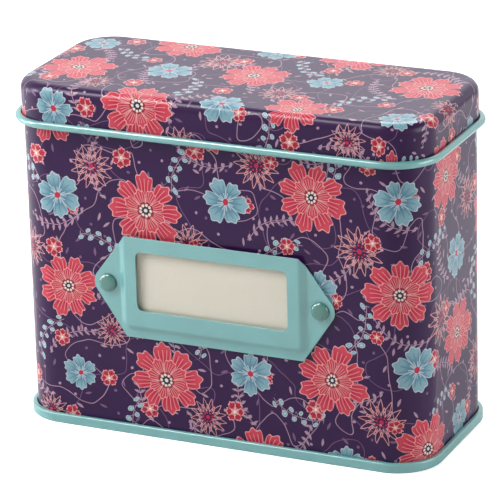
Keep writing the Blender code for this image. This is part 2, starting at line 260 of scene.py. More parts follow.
class Graph:
    """The node tree of a material or world, with short ways to add to it."""

    def __init__(self, owner):
        owner.use_nodes = True
        self.owner = owner
        self.tree = owner.node_tree
        self.shader = self.tree.nodes.get("Principled BSDF")

    def feed(self, socket, value):
        """Links a term to a socket, or sets a constant on it."""
        if isinstance(value, Term):
            self.tree.links.new(value.socket, socket)
        else:
            socket.default_value = value

    def add(self, kind, inputs, **settings):
        """A new node with its inputs and settings."""
        node = self.tree.nodes.new(kind)
        for name, value in settings.items():
            setattr(node, name, value)
        for socket, value in inputs.items():
            self.feed(node.inputs[socket], value)
        return node

    def out(self, kind, output, inputs, **settings):
        """One output of a new node."""
        return Term(self, self.add(kind, inputs, **settings).outputs[output])

    def math(self, operation, *values):
        return self.out("ShaderNodeMath", 0, dict(enumerate(values)), operation=operation)

    def vector(self, operation, *values):
        return self.out("ShaderNodeVectorMath", "Vector", dict(enumerate(values)), operation=operation)

    def scaled(self, vector, factor):
        return self.out("ShaderNodeVectorMath", "Vector", {0: vector, "Scale": factor}, operation="SCALE")

    def split(self, vector):
        node = self.add("ShaderNodeSeparateXYZ", {0: vector})
        return [Term(self, socket) for socket in node.outputs]

    def turned(self, vector, angle):
        return self.out("ShaderNodeVectorRotate", "Vector", {"Vector": vector, "Angle": angle},
                        rotation_type="Z_AXIS")

    def low(self, *values):
        """The least of some terms."""
        least = values[0]
        for value in values[1:]:
            least = self.math("MINIMUM", least, value)
        return least

    def high(self, *values):
        """The greatest of some terms."""
        greatest = values[0]
        for value in values[1:]:
            greatest = self.math("MAXIMUM", greatest, value)
        return greatest

    def span(self, value, start, end, low=0.0, high=1.0):
        """Eases from low to high while a value goes from start to end."""
        inputs = {"Value": value, "From Min": start, "From Max": end, "To Min": low, "To Max": high}
        return self.out("ShaderNodeMapRange", "Result", inputs, interpolation_type="SMOOTHSTEP")

    def inside(self, depth, soft=INK_EDGE):
        """1 where a depth is positive, with a soft edge."""
        return self.span(depth, -soft, soft)

    def paint(self, under, colour, mask):
        """One colour over another where the mask is 1."""
        return self.out("ShaderNodeMix", 2, {0: mask, 6: under, 7: colour}, data_type="RGBA")

    def noise(self, place, scale, detail=2.0, output="Fac", **inputs):
        return self.out("ShaderNodeTexNoise", output,
                        {"Vector": place, "Scale": scale, "Detail": detail, **inputs})

    def uv(self, name):
        return self.out("ShaderNodeUVMap", "UV", {}, uv_map=name)

    def place(self):
        """The object's own coordinates, in metres."""
        return self.out("ShaderNodeTexCoord", "Object", {})

    def set(self, **values):
        """Sets the shader's sockets, named with _ for a space."""
        for name, value in values.items():
            self.feed(self.shader.inputs[name.replace("_", " ")], value)

    def bump(self, height, distance, strength=1.0):
        """Bump of a height, distance being how high 1 stands."""
        inputs = {"Height": height, "Distance": distance, "Strength": strength}
        self.set(Normal=self.out("ShaderNodeBump", "Normal", inputs))


# A ring of petals: its reach, waist and notches, and its turn in petals
Ring = namedtuple("Ring", "reach waist notch turn")


def cells(graph, sheet, pitch, corner, seed, jitter):
    """Square cells on the sheet: the way from a cell's own middle, and three random numbers."""
    scaled = graph.vector("ADD", graph.scaled(sheet, 1 / pitch), (corner[0], corner[1], seed))
    index = graph.vector("FLOOR", scaled)
    chance = graph.out("ShaderNodeTexWhiteNoise", "Color", {"Vector": index}, noise_dimensions="3D")
    way = graph.vector("SUBTRACT", graph.vector("SUBTRACT", scaled, index), (0.5, 0.5, 0))
    way = graph.vector("MULTIPLY", way, (pitch, pitch, 0))
    shake = graph.vector("SUBTRACT", chance, (0.5, 0.5, 0.5))
    shake = graph.vector("MULTIPLY", shake, (jitter, jitter, 0))
    return graph.vector("SUBTRACT", way, shake), graph.split(chance)


def polar(graph, way):
    """Distance from a motif's middle, and the angle there in whole turns."""
    x, y, _ = graph.split(way)
    radius = graph.out("ShaderNodeVectorMath", "Value", {0: way}, operation="LENGTH")
    return radius, graph.math("ARCTAN2", y, x) / (2 * pi)


def petals(graph, radius, turns, count, ring, veins, seed):
    """Depth inside a ring of petals, depth inside its outline, and the way to its nearest vein."""
    lobes_per_petal, seed_spread, short_by = 3, 57, 0.12
    outline_width, gap_width = 0.34, 0.15
    place = turns * count + ring.turn
    index = graph.math("FLOOR", place)
    part = place - index - 0.5
    across = abs(part) * 2
    arch = graph.math("SQRT", graph.high(1 - across * across, 0))
    lobes = graph.math("COSINE", part * (2 * pi * lobes_per_petal)) * ring.notch
    own = graph.math("FLOORED_MODULO", index, count) + seed * seed_spread
    own = graph.out("ShaderNodeTexWhiteNoise", "Value", {"W": own}, noise_dimensions="1D")
    reach = (arch * (1 - ring.waist) + ring.waist + lobes - own * short_by) * ring.reach
    depth = reach - radius
    half = radius * pi / count
    between = (1 - across) * half
    line = graph.high(outline_width - depth, gap_width - between)
    vein = abs(graph.math("FRACT", part * veins + 0.5) - 0.5) * half * (2 / veins)
    return depth, line, vein


def draw_flower(graph, colour, way, chance, size, count, inks, core_inks):
    """A many-petalled flower: two rings of veined petals round a beaded heart."""
    fill, deep, pale, line_ink = inks
    core_ink, bead_ink = core_inks
    way = graph.turned(way, chance[2] * 2 * pi)
    radius, turns = polar(graph, graph.scaled(way, 1 / (0.86 + 0.24 * chance[0])))
    rings = (Ring(reach=size, waist=0.56, notch=0.04, turn=0.0),
             Ring(reach=size * 0.6, waist=0.52, notch=0.035, turn=0.5))
    pale_start, deep_start, deep_full = 0.55, 0.6, 0.2
    vein_width, vein_start, vein_end, vein_ink = 0.12, 0.36, 0.8, 0.75
    for ring in rings:
        depth, line, vein = petals(graph, radius, turns, count, ring, veins=5, seed=chance[0])
        body = graph.paint(fill, pale, graph.span(radius, ring.reach * pale_start, ring.reach))
        body = graph.paint(body, deep, graph.span(radius, ring.reach * deep_start, ring.reach * deep_full))
        ends = graph.low(radius - ring.reach * vein_start, ring.reach * vein_end - radius)
        body = graph.paint(body, line_ink, graph.inside(graph.low(vein_width - vein, ends)) * vein_ink)
        body = graph.paint(body, line_ink, graph.inside(line))
        colour = graph.paint(colour, body, graph.inside(depth))
    core, beads, core_rim, bead_share, eye_share = size * 0.13, 9, 1.4, 0.28, 0.35
    colour = graph.paint(colour, deep, graph.inside(core * core_rim - radius))
    colour = graph.paint(colour, core_ink, graph.inside(core - radius))
    around = (graph.math("FRACT", turns * beads) - 0.5) * (2 * pi / beads) * core
    bead = graph.math("SQRT", around * around + (radius - core) * (radius - core))
    colour = graph.paint(colour, bead_ink, graph.inside(core * bead_share - bead))
    return graph.paint(colour, bead_ink, graph.inside(core * eye_share - radius))


def draw_blossom(graph, colour, way, chance, size, inks):
    """A small open blossom of six broad petals with fine ticks round its heart."""
    fill, deep, line_ink, heart = inks
    way = graph.turned(way, chance[2] * 2 * pi)
    radius, turns = polar(graph, graph.scaled(way, 1 / (0.82 + 0.32 * chance[1])))
    ring = Ring(reach=size, waist=0.58, notch=0.045, turn=0.0)
    deep_start, deep_full, vein_width, vein_start, vein_end = 0.75, 0.2, 0.11, 0.3, 0.72
    ticks, tick_width, tick_end, heart_share = 12, 0.13, 0.36, 0.13
    depth, line, vein = petals(graph, radius, turns, 6, ring, veins=3, seed=chance[1])
    body = graph.paint(fill, deep, graph.span(radius, size * deep_start, size * deep_full))
    streak = graph.low(vein_width - vein, radius - size * vein_start, size * vein_end - radius)
    body = graph.paint(body, deep, graph.inside(streak))
    body = graph.paint(body, line_ink, graph.inside(line))
    colour = graph.paint(colour, body, graph.inside(depth))
    tick = abs(graph.math("FRACT", turns * ticks) - 0.5) * radius * (2 * pi / ticks)
    tick = graph.low(tick_width - tick, size * tick_end - radius)
    colour = graph.paint(colour, line_ink, graph.inside(tick))
    return graph.paint(colour, heart, graph.inside(size * heart_share - radius))


def draw_fern(graph, colour, way, chance, ink):
    """A bent stem with pairs of small almond leaves."""
    x, y, _ = graph.split(graph.turned(way, chance[2] * 2 * pi))
    half, bend, pitch = 10.0, 0.04, 2.1
    leaf_length, leaf_least, leaf_width, stem_width = 2.5, 0.5, 0.46, 0.12
    lean = (0.8, 0.6)
    bent = x - y * y * bend
    share = abs(y) / half
    side = abs(bent)
    step = (graph.math("FRACT", y / pitch) - 0.5) * pitch
    along = side * lean[0] + step * lean[1]
    off = abs(side * -lean[1] + step * lean[0])
    length = (1 - share * share) * leaf_length + leaf_least
    part = along / length * 2 - 1
    leaf = graph.high(1 - part * part, 0) * leaf_width - off
    shape = graph.low(graph.high(leaf, stem_width - side), half - abs(y))
    return graph.paint(colour, ink, graph.inside(shape))


def draw_berries(graph, colour, way, chance, ink, fill):
    """Round berries of two sizes on both sides of a bent stem."""
    x, y, _ = graph.split(graph.turned(way, chance[2] * 2 * pi))
    half, bend, pitch = 8.6, 0.035, 1.72
    offset, berry_radius, berry_play, berry_rim, shine_radius = 1.25, 0.72, 0.3, 0.26, 0.62
    twig_width, stalk_width, stalk_slope, stalk_reach = 0.11, 0.09, 0.3, 1.2
    bent = x + y * y * bend
    step = y / pitch
    row = graph.math("FLOOR", step)
    side = (graph.math("FRACT", row * 0.5) * 4 - 1) * offset
    dx = bent - side
    dy = (step - row - 0.5) * pitch
    big = graph.math("FRACT", row * 0.382) * berry_play
    berry = berry_radius + big - graph.math("SQRT", dx * dx + dy * dy)
    ends = half - abs(y)
    stalk = stalk_width - abs(dy + dx * side * stalk_slope) + graph.low(0.0, stalk_reach - abs(bent))
    twig = graph.high(twig_width - abs(bent), stalk)
    colour = graph.paint(colour, LILAC, graph.inside(graph.low(twig, ends)))
    colour = graph.paint(colour, ink, graph.inside(graph.low(berry, ends)))
    return graph.paint(colour, fill, graph.inside(graph.low(berry - berry_rim, ends, shine_radius - berry)))


def draw_aster(graph, colour, way, chance, size, line_ink, heart_ink):
    """A line-drawn aster: two rounds of slim pointed petals, and dots round its heart."""
    way = graph.turned(way, chance[2] * 2 * pi)
    radius, turns = polar(graph, graph.scaled(way, 1 / (0.8 + 0.35 * chance[0])))
    count, dots, slimness, line_width, petal_start = 13, 9, 0.42, 0.1, 0.3
    dot_ring, dot_radius, heart_share = 0.22, 0.3, 0.1
    for number, reach in enumerate((1.0, 0.7)):
        part = graph.math("FRACT", turns * count + number / 2) - 0.5
        around = abs(part) * radius * (2 * pi / count)
        end = size * reach
        half = radius * (1 - radius / end) * slimness
        line = graph.low(line_width - abs(half - around), end - radius, radius - size * petal_start)
        colour = graph.paint(colour, line_ink, graph.inside(line))
    ring = size * dot_ring
    around = (graph.math("FRACT", turns * dots) - 0.5) * (2 * pi / dots) * ring
    dot = graph.math("SQRT", around * around + (radius - ring) * (radius - ring))
    colour = graph.paint(colour, heart_ink, graph.inside(dot_radius - dot))
    return graph.paint(colour, heart_ink, graph.inside(size * heart_share - radius))


def draw_stems(graph, colour, sheet, seed, size, width, ink):
    """Thin wandering stems of even width: the level lines of a smooth noise."""
    def level(dx, dy):
        return graph.noise(graph.vector("ADD", sheet, (dx, dy, seed)), 1 / size, 0.0)
    step = 0.4
    here = level(0, 0)
    right = level(step, 0) - here
    up = level(0, step) - here
    slope = graph.math("SQRT", right * right + up * up) / step
    return graph.paint(colour, ink, graph.inside(width - abs(here - 0.5) / slope))


def draw_scatter(graph, colour, sheet, pitch, corner, seed):
    """Loose almond leaves and dots that fill the ground."""
    way, chance = cells(graph, sheet, pitch, corner, seed, pitch * 0.5)
    x, y, _ = graph.split(graph.turned(way, chance[0] * 2 * pi))
    leaf_half, leaf_width, dot_radius = 1.35, 0.4, 0.46
    part = y / leaf_half
    leaf = (1 - part * part) * leaf_width - abs(x)
    dot = dot_radius - graph.math("SQRT", x * x + y * y)
    pick = graph.math("GREATER_THAN", chance[1], 0.5)
    shape = leaf + (dot - leaf) * pick
    ink = graph.paint(LILAC_DIM, LILAC, graph.math("GREATER_THAN", chance[2], 0.5))
    return graph.paint(colour, ink, graph.inside(shape))


def floral_print():
    """Coral and pale blue flowers, ferns and berries printed on purple, under a satin varnish."""
    graph = Graph(bpy.data.materials.new("floral_print"))
    flat = graph.uv("Print")
    sheet = graph.turned(flat, LATTICE_TURN)
    wobble = graph.noise(sheet, 1 / WOBBLE_SIZE, 1.0, "Color")
    wobble = graph.vector("SUBTRACT", wobble, (0.5, 0.5, 0.5))
    sheet = graph.vector("ADD", sheet, graph.scaled(wobble, WOBBLE_REACH * 2))
    sheet = graph.vector("MULTIPLY", sheet, (1, 1, 0))

    colour = graph.paint(PURPLE, PURPLE_DEEP, graph.noise(sheet, 1 / 9.0, 3.0))
    colour = draw_scatter(graph, colour, sheet, 5.6, (0.3, 0.1), 1.0)
    colour = draw_stems(graph, colour, sheet, 3.0, 17.0, 0.11, LILAC_DIM)
    colour = draw_stems(graph, colour, sheet, 11.0, 14.0, 0.12, LILAC)
    way, chance = cells(graph, sheet, LATTICE_PITCH / 1.5, (0.2, 0.5), 4.0, 5.0)
    colour = draw_fern(graph, colour, way, chance, LILAC)
    way, chance = cells(graph, sheet, LATTICE_PITCH, (0.0, 0.5), 9.0, 4.0)
    colour = draw_aster(graph, colour, way, chance, 7.0, PINK_LINE, CORAL)
    way, chance = cells(graph, sheet, LATTICE_PITCH, (0.5, 0.0), 5.0, 4.0)
    colour = draw_berries(graph, colour, way, chance, BERRY, BLUE)
    way, chance = cells(graph, sheet, LATTICE_PITCH / 2, (0.25, 0.25), 6.0, 6.0)
    small_inks = (CORAL, CORAL_DEEP, PINK_LINE, CREAM)
    colour = draw_blossom(graph, colour, way, chance, 3.1, small_inks)
    way, chance = cells(graph, sheet, LATTICE_PITCH, (0.0, 0.0), 7.0, 5.0)
    colour = draw_blossom(graph, colour, way, chance, 7.0, (BLUE, BLUE_DEEP, BERRY, CORAL))
    way, chance = cells(graph, sheet, LATTICE_PITCH, (0.5, 0.5), 8.0, 6.0)
    coral_inks = (CORAL, CORAL_DEEP, CORAL_PALE, PINK_LINE)
    colour = draw_flower(graph, colour, way, chance, 11.8, 8, coral_inks, (PURPLE_DEEP, CREAM))

    grain = graph.noise(sheet, 2.2, 2.0)
    graph.set(Base_Color=graph.paint(colour, graph.scaled(colour, 0.86), grain))
    varnish(graph, flat)
    return graph.owner


def varnish(graph, place_mm):
    """Satin varnish on thin sheet: a faint orange peel over long, shallow waves."""
    peel = graph.noise(place_mm, 0.9, 2.0)
    waves = graph.noise(place_mm, 1 / 45.0, 1.0)
    graph.set(Roughness=graph.span(peel, 0.3, 0.7, 0.34, 0.42), **VARNISH_COAT)
    graph.bump(peel * 0.012 + waves * 0.5, 1.0 * MM, 1.0)


def teal_enamel(name, ink):
    """Stoved enamel on tinplate, slightly thinner and paler here and there."""
    graph = Graph(bpy.data.materials.new(name))
    place = graph.scaled(graph.place(), UNIT)
    cloud = graph.noise(place, 1 / 14.0, 3.0)
    speck = graph.noise(place, 3.0, 2.0)
    pale = tuple(min(level * 1.06, 1.0) for level in ink[:3]) + (1.0,)
    colour = graph.paint(ink, pale, graph.span(cloud, 0.35, 0.65))
    graph.set(Base_Color=graph.paint(colour, graph.scaled(colour, 0.93), speck))
    graph.set(Roughness=graph.span(speck, 0.3, 0.7, 0.3, 0.4), **ENAMEL_COAT)
    graph.bump(graph.noise(place, 1.1, 2.0) * 0.01, 1.0 * MM)
    return graph.owner


def tinplate():
    """Bare tinplate: rolled grain along the sheet, and faint clouds of tin."""
    graph = Graph(bpy.data.materials.new("bare_tinplate"))
    place = graph.scaled(graph.place(), UNIT)
    grain = graph.noise(graph.vector("MULTIPLY", place, (0.15, 0.15, 6.0)), 1.0, 3.0)
    cloud = graph.noise(place, 1 / 8.0, 3.0)
    dull = tuple(level * 0.8 for level in TINPLATE[:3]) + (1.0,)
    colour = graph.paint(TINPLATE, dull, cloud)
    graph.set(Base_Color=colour, Metallic=1.0)
    graph.set(Roughness=graph.span(grain, 0.3, 0.7, 0.3, 0.42))
    graph.bump(grain * 0.006, 1.0 * MM)
    return graph.owner


def paper(name, ink):
    """Uncoated paper: fibres lying every way, soft flecks and a rough tooth."""
    graph = Graph(bpy.data.materials.new(name))
    place = graph.scaled(graph.place(), UNIT)
    long_fibre = graph.noise(graph.vector("MULTIPLY", place, (0.7, 1.0, 5.0)), 1.0, 4.0)
    cross_fibre = graph.noise(graph.vector("MULTIPLY", place, (5.0, 1.0, 0.8)), 1.0, 4.0)
    cloud = graph.noise(place, 1 / 12.0, 3.0)
    fibre = graph.low(long_fibre, cross_fibre)
    dark = tuple(level * 0.92 for level in ink[:3]) + (1.0,)
    colour = graph.paint(ink, dark, graph.span(fibre, 0.45, 0.2))
    colour = graph.paint(colour, graph.scaled(colour, 0.95), cloud)
    graph.set(Base_Color=colour, **PAPER_FINISH)
    graph.bump(fibre, 0.03 * MM, 0.6)
    return graph, colour


def plain_paper(name, ink):
    return paper(name, ink)[0].owner


def ruled_card():
    """White card stock with pale ruled lines."""
    graph, colour = paper("ruled_card", CARD_WHITE)
    _, _, z = graph.split(graph.scaled(graph.place(), UNIT))
    pitch, rule, first, last = 7.1, 0.14, 8.0, 64.0
    line = rule - abs(graph.math("FRACT", z / pitch) - 0.5) * pitch
    rows = graph.low(line, last - z, z - first)
    graph.set(Base_Color=graph.paint(colour, CARD_RULE, graph.inside(rows) * 0.8))
    return graph.owner


# A place on the plan outline, and a step of a profile that is carried round it
Station = namedtuple("Station", "x y nx ny along seam")
Step = namedtuple("Step", "outset height length finish groove pad", defaults=(0.0, 0.0))


def arc(centre, radius, start, turn, steps):
    """Points of an arc in a plane; angles run anticlockwise from the first axis."""
    points = []
    for i in range(steps + 1):
        angle = start + turn * i / steps
        points.append((centre[0] + radius * cos(angle), centre[1] + radius * sin(angle)))
    return points


def stations():
    """The plan outline, anticlockwise from the middle of the back and round to it again."""
    near, pad = SEAM_GROOVE_HALF_WIDTH, SEAM_HALF_WIDTH
    edge = pad + SEAM_PAD / 3
    across = HALF_WIDTH - CORNER_RADIUS
    deep = HALF_DEPTH - CORNER_RADIUS
    marks = [(x, HALF_DEPTH, 0.0, 1.0, seam) for x, seam in ((0, 2), (-near, 1), (-pad, 1), (-edge, 0))]
    for quarter, sx, sy in ((1, -1, 1), (2, -1, -1), (3, 1, -1), (0, 1, 1)):
        for i in range(CORNER_STEPS + 1):
            angle = (quarter + i / CORNER_STEPS) * pi / 2
            nx, ny = cos(angle), sin(angle)
            marks.append((sx * across + nx * CORNER_RADIUS, sy * deep + ny * CORNER_RADIUS, nx, ny, 0))
        if quarter == 1:
            marks.append((-HALF_WIDTH, 0.0, -1.0, 0.0, 0))
        if quarter == 3:
            marks.append((HALF_WIDTH, 0.0, 1.0, 0.0, 0))
    marks += [(x, HALF_DEPTH, 0.0, 1.0, seam) for x, seam in ((edge, 0), (pad, 1), (near, 1), (0, 2))]
    along = 0.0
    ring = []
    for i, mark in enumerate(marks):
        if i:
            along += hypot(mark[0] - marks[i - 1][0], mark[1] - marks[i - 1][1])
        ring.append(Station(*mark[:4], along, mark[4]))
    return ring


def steps_along(points, finishes, start=0.0):
    """Profile steps with the developed length run up to each."""
    made = []
    length = start
    for i, point in enumerate(points):
        if i:
            length += hypot(point[0] - points[i - 1][0], point[1] - points[i - 1][1])
        made.append(Step(point[0], point[1], length, finishes[i]))
    return made


def sweep(name, ring, profile, materials, uv_maps, closed, caps=()):
    """Sheet metal: a profile carried round the plan outline. Caps are (step, finish) of flat ends."""
    count = len(ring) - 1
    verts = []
    for step in profile:
        for station in ring[:-1]:
            outset = step.outset - step.pad * (station.seam > 0) - step.groove * (station.seam > 1)
            verts.append((station.x + station.nx * outset, station.y + station.ny * outset, step.height))
    faces, finishes, corners = [], [], []
    spans = len(profile) if closed else len(profile) - 1
    for i in range(spans):
        k = (i + 1) % len(profile)
        for j in range(count):
            m = (j + 1) % count
            faces.append((i * count + j, i * count + m, k * count + m, k * count + j))
            finishes.append(profile[i].finish)
            corners.append(((j, i), (j + 1, i), (j + 1, k), (j, k)))
    for step, finish in caps:
        faces.append(tuple(step * count + j for j in range(count)))
        finishes.append(finish)
        corners.append(tuple((j, step) for j in range(count)))
    mesh = bpy.data.meshes.new(name)
    mesh.from_pydata(verts, [], faces)
    for map_name, place_of in uv_maps.items():
        layer = mesh.uv_layers.new(name=map_name)
        at = 0
        for face, finish in zip(corners, finishes):
            middle = sum(ring[j].along for j, _ in face) / len(face)
            for j, i in face:
                layer.data[at].uv = place_of(ring[j], profile[i], middle, finish)
                at += 1
    for polygon, finish in zip(mesh.polygons, finishes):
        polygon.material_index = finish
    for material in materials:
        mesh.materials.append(material)
    return finished(name, mesh)


def finished(name, mesh):
    """Object with outward faces, smooth rounds and crisp folds."""
    bm = bmesh.new()
    bm.from_mesh(mesh)
    bmesh.ops.recalc_face_normals(bm, faces=bm.faces)
    bm.to_mesh(mesh)
    bm.free()
    mesh.shade_smooth()
    mesh.set_sharp_from_angle(angle=SMOOTH_ANGLE)
    obj = bpy.data.objects.new(name, mesh)
    bpy.context.scene.collection.objects.link(obj)
    return obj


def dress(piece, body, slot, *nodes):
    """Puts a piece on its CAD body, in place of some nodes. Its slot is not used."""
    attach(piece, body)
    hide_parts(*nodes)


def make_body(outside, inside_metal):
    """Printed wall with its mouth curled inward and its lock seam at the back."""
    ring = stations()
    perimeter = ring[-1].along
    centre = (-MOUTH_CURL_RADIUS, MOUTH_CENTRE)
    outer = [(0, BODY_FOOT)] + arc(centre, MOUTH_CURL_RADIUS, 0, MOUTH_CURL_TURN, MOUTH_STEPS)
    inner = arc(centre, MOUTH_CURL_RADIUS - SHEET, MOUTH_CURL_TURN, -MOUTH_CURL_TURN, MOUTH_STEPS)
    wall = -SHEET
    seam_high = MOUTH_CENTRE - MOUTH_CURL_RADIUS - SEAM_END_GAP
    seam_low = PANEL_TOP + SEAM_END_GAP
    inner += [(wall, seam_high + SEAM_PAD), (wall, seam_high), (wall, seam_low)]
    inner += [(wall, seam_low - SEAM_PAD), (wall, BODY_FOOT)]
    profile = steps_along(outer + inner, [0] * len(outer) + [1] * len(inner))
    for i in (0, 1):
        profile[i] = profile[i]._replace(groove=SEAM_GROOVE)
    for i, step in enumerate(profile):
        if step.outset == wall and step.height in (seam_high, seam_low):
            profile[i] = step._replace(pad=SEAM_PAD)
    outside_length = profile[len(outer) - 1].length
    total = profile[-1].length

    def print_place(station, step, middle, finish):
        return station.along / MM, step.length / MM

    def bake_place(station, step, middle, finish):
        if finish:
            length = step.length if step.length >= outside_length else total
            across = BAKE_INSIDE_WIDTH * (length - outside_length) / (total - outside_length)
            return BAKE_INSIDE_START + across, BAKE_EDGE + BAKE_INSIDE_LENGTH * station.along / perimeter
        front = perimeter / 4 < middle < perimeter * 3 / 4
        start = perimeter / 4 if front else perimeter * 3 / 4
        run = (station.along - start) % perimeter
        if run > perimeter * 0.75:
            run -= perimeter
        scale = BAKE_WALL_SCALE / outside_length
        low = BAKE_FRONT_HALF if front else BAKE_EDGE
        return BAKE_EDGE + run * scale, low + step.length * scale

    maps = {"Print": print_place, "OFBake": bake_place}
    body = sweep("body_print", ring, profile, [outside, inside_metal], maps, closed=True)
    dress(body, "tin", "printed_tin", "body_shell")


def make_lid(outside, inside_enamel):
    """Drawn lid: flat top, soft shoulder, skirt, and the sheet rolled outward into a bead."""
    ring = stations()
    shoulder = (LID_OUTSIDE - SHOULDER_RADIUS, TIN_HEIGHT - SHOULDER_RADIUS)
    curl = (LID_INSIDE + LID_CURL_RADIUS, LID_SKIRT_END + LID_CURL_RADIUS)
    end = pi + LID_CURL_TURN
    flat_out = (shoulder[0] - FLAT_EDGE, TIN_HEIGHT)
    flat_in = (shoulder[0] - FLAT_EDGE, TIN_HEIGHT - SHEET)
    outer = [flat_out] + arc(shoulder, SHOULDER_RADIUS, pi / 2, -pi / 2, SHOULDER_STEPS)
    outer += arc(curl, LID_CURL_RADIUS - SHEET, pi, LID_CURL_TURN, CURL_STEPS)
    inner = arc(curl, LID_CURL_RADIUS, end, -LID_CURL_TURN, CURL_STEPS)
    inner += arc(shoulder, SHOULDER_RADIUS - SHEET, 0, pi / 2, SHOULDER_STEPS) + [flat_in]
    outer_steps = steps_along(outer, [0] * len(outer), -FLAT_EDGE)
    inner_steps = steps_along(inner[::-1], [1] * len(inner), -FLAT_EDGE)[::-1]
    profile = outer_steps + inner_steps
    reach_out = outer_steps[-1].length
    reach_in = inner_steps[0].length

    def developed(station, length):
        far = shoulder[0] + length
        return station.x + station.nx * far, station.y + station.ny * far

    def print_place(station, step, middle, finish):
        x, y = developed(station, step.length)
        return x / MM, y / MM

    def bake_place(station, step, middle, finish):
        x, y = developed(station, step.length)
        wide, tall = HALF_WIDTH + shoulder[0], HALF_DEPTH + shoulder[0]
        if finish:
            scale = BAKE_LID_INSIDE_HALF_DEPTH / (tall + reach_in)
            return BAKE_LID_INSIDE_MIDDLE[0] + x * scale, BAKE_LID_INSIDE_MIDDLE[1] + y * scale
        x, y = developed(station, min(step.length, reach_out))
        scale = min(BAKE_LID_HALF_WIDTH / (wide + reach_out), BAKE_LID_HALF_DEPTH / (tall + reach_out))
        return BAKE_LID_MIDDLE[0] + x * scale, BAKE_LID_MIDDLE[1] + y * scale

    maps = {"Print": print_place, "OFBake": bake_place}
    caps = ((0, 0), (len(profile) - 1, 1))
    lid = sweep("lid_print", ring, profile, [outside, inside_enamel], maps, closed=False, caps=caps)
    dress(lid, "lid", "printed_tin", "lid_shell")


def make_base(outside, inside_metal):
    """Pressed base plate, double seamed round the foot of the body."""
    slot_in = -SHEET - FIT
    slot_out = FIT
    wall_in = slot_in - SHEET
    step_out = -PANEL_STEP_INSET
    step_in = step_out - PANEL_STEP_RUN
    bend = (slot_in - PANEL_BEND, PANEL_TOP - PANEL_BEND)
    low_bend = (wall_in - PANEL_BEND, PANEL_RISE - PANEL_BEND)
    rim_top = (RIM_PROUD - RIM_ROUND, RIM_HEIGHT - RIM_ROUND)
    rim_foot = (RIM_PROUD - RIM_ROUND, RIM_ROUND)
    flat = step_in - FLAT_EDGE
    inner = [(flat, PANEL_TOP - PANEL_STEP), (step_in, PANEL_TOP - PANEL_STEP), (step_out, PANEL_TOP)]
    inner += arc(bend, PANEL_BEND, pi / 2, -pi / 2, ROUND_STEPS)
    inner += [(slot_in, SEAM_WEB), (slot_out, SEAM_WEB)]
    outer = [(slot_out, RIM_HEIGHT)]
    outer += arc(rim_top, RIM_ROUND, pi / 2, -pi / 2, ROUND_STEPS)
    outer += arc(rim_foot, RIM_ROUND, 0, -pi / 2, ROUND_STEPS)
    outer += [(wall_in, 0)] + arc(low_bend, PANEL_BEND, 0, pi / 2, ROUND_STEPS)
    outer += [(step_out, PANEL_RISE), (step_in, PANEL_RISE - PANEL_STEP), (flat, PANEL_RISE - PANEL_STEP)]
    profile = steps_along(inner + outer, [1] * len(inner) + [0] * len(outer))
    caps = ((0, 1), (len(profile) - 1, 0))
    base = sweep("base_rim", stations(), profile, [outside, inside_metal], {}, closed=False, caps=caps)
    dress(base, "tin", "teal_enamel", "base_plate")


def on_front(x, outset, z):
    """A point of the holder or a rivet, so far in front of the body's front wall."""
    return (x, FRONT_WALL - outset, z)


def ear_outline():
    """Holder outline: straight top and bottom edges, sides drawn out to rounded ears."""
    foot = (CHANNEL_FOOT - HOLDER_FOOT_INSET, holder_low.z)
    top = (CHANNEL_FOOT - HOLDER_TOP_INSET, holder_high.z)
    points = []
    for side, corners in ((1, (foot, top)), (-1, (top, foot))):
        tangents = []
        for corner_x, corner_z in corners:
            dx, dz = corner_x - RIVET_X, corner_z - RIVET_HEIGHT
            reach = hypot(dx, dz)
            along = EAR_RADIUS ** 2 / reach ** 2
            across = EAR_RADIUS * sqrt(reach ** 2 - EAR_RADIUS ** 2) / reach ** 2
            turn = 1 if dz < 0 else -1
            tangents.append((dx * along - turn * dz * across, dz * along + turn * dx * across))
        first, last = tangents
        spread = Vector(first).angle_signed(Vector(last))
        points.append((side * corners[0][0], corners[0][1]))
        for i in range(CORNER_STEPS + 1):
            angle = -spread * i / CORNER_STEPS
            px = first[0] * cos(angle) - first[1] * sin(angle)
            pz = first[0] * sin(angle) + first[1] * cos(angle)
            points.append((side * (RIVET_X + px), RIVET_HEIGHT + pz))
        points.append((side * corners[1][0], corners[1][1]))
    return points


def channel_line(inset):
    """U-shaped line of the channel's step, so far in from its foot, open at the top."""
    half = CHANNEL_FOOT - inset
    low = holder_low.z + CHANNEL_FLANGE + inset
    radius = CHANNEL_CORNER + CHANNEL_STEP_RUN - inset
    left = arc((-half + radius, low + radius), radius, pi, pi / 2, CHANNEL_STEPS)
    right = arc((half - radius, low + radius), radius, 1.5 * pi, pi / 2, CHANNEL_STEPS)
    above = holder_high.z + CHANNEL_FLANGE
    return [(-half, above)] + left + right + [(half, above)]


def channel_height(x, z):
    """Height of the pressed sheet: flat flange, eased step, flat channel face."""
    radius = CHANNEL_CORNER + CHANNEL_STEP_RUN
    side = CHANNEL_FOOT - abs(x)
    low = z - holder_low.z - CHANNEL_FLANGE
    depth = min(side, low)
    if side < radius and low < radius:
        depth = radius - hypot(radius - side, radius - low)
    share = min(max(depth / CHANNEL_STEP_RUN, 0), 1)
    ease = CHANNEL_EASE_SHARE
    near = min(share, 1 - share)
    part = near * near / (2 * ease * (1 - ease)) if near < ease else (near - ease / 2) / (1 - ease)
    return CHANNEL_RISE * (part if share < 0.5 else 1 - part)


def channel_normal(x, z):
    """Outward normal of the pressed sheet's face."""
    reach = CHANNEL_STEP_RUN / PROBES_PER_RUN
    slope_x = (channel_height(x + reach, z) - channel_height(x - reach, z)) / (2 * reach)
    slope_z = (channel_height(x, z + reach) - channel_height(x, z - reach)) / (2 * reach)
    return Vector((-slope_x, -1, -slope_z)).normalized()


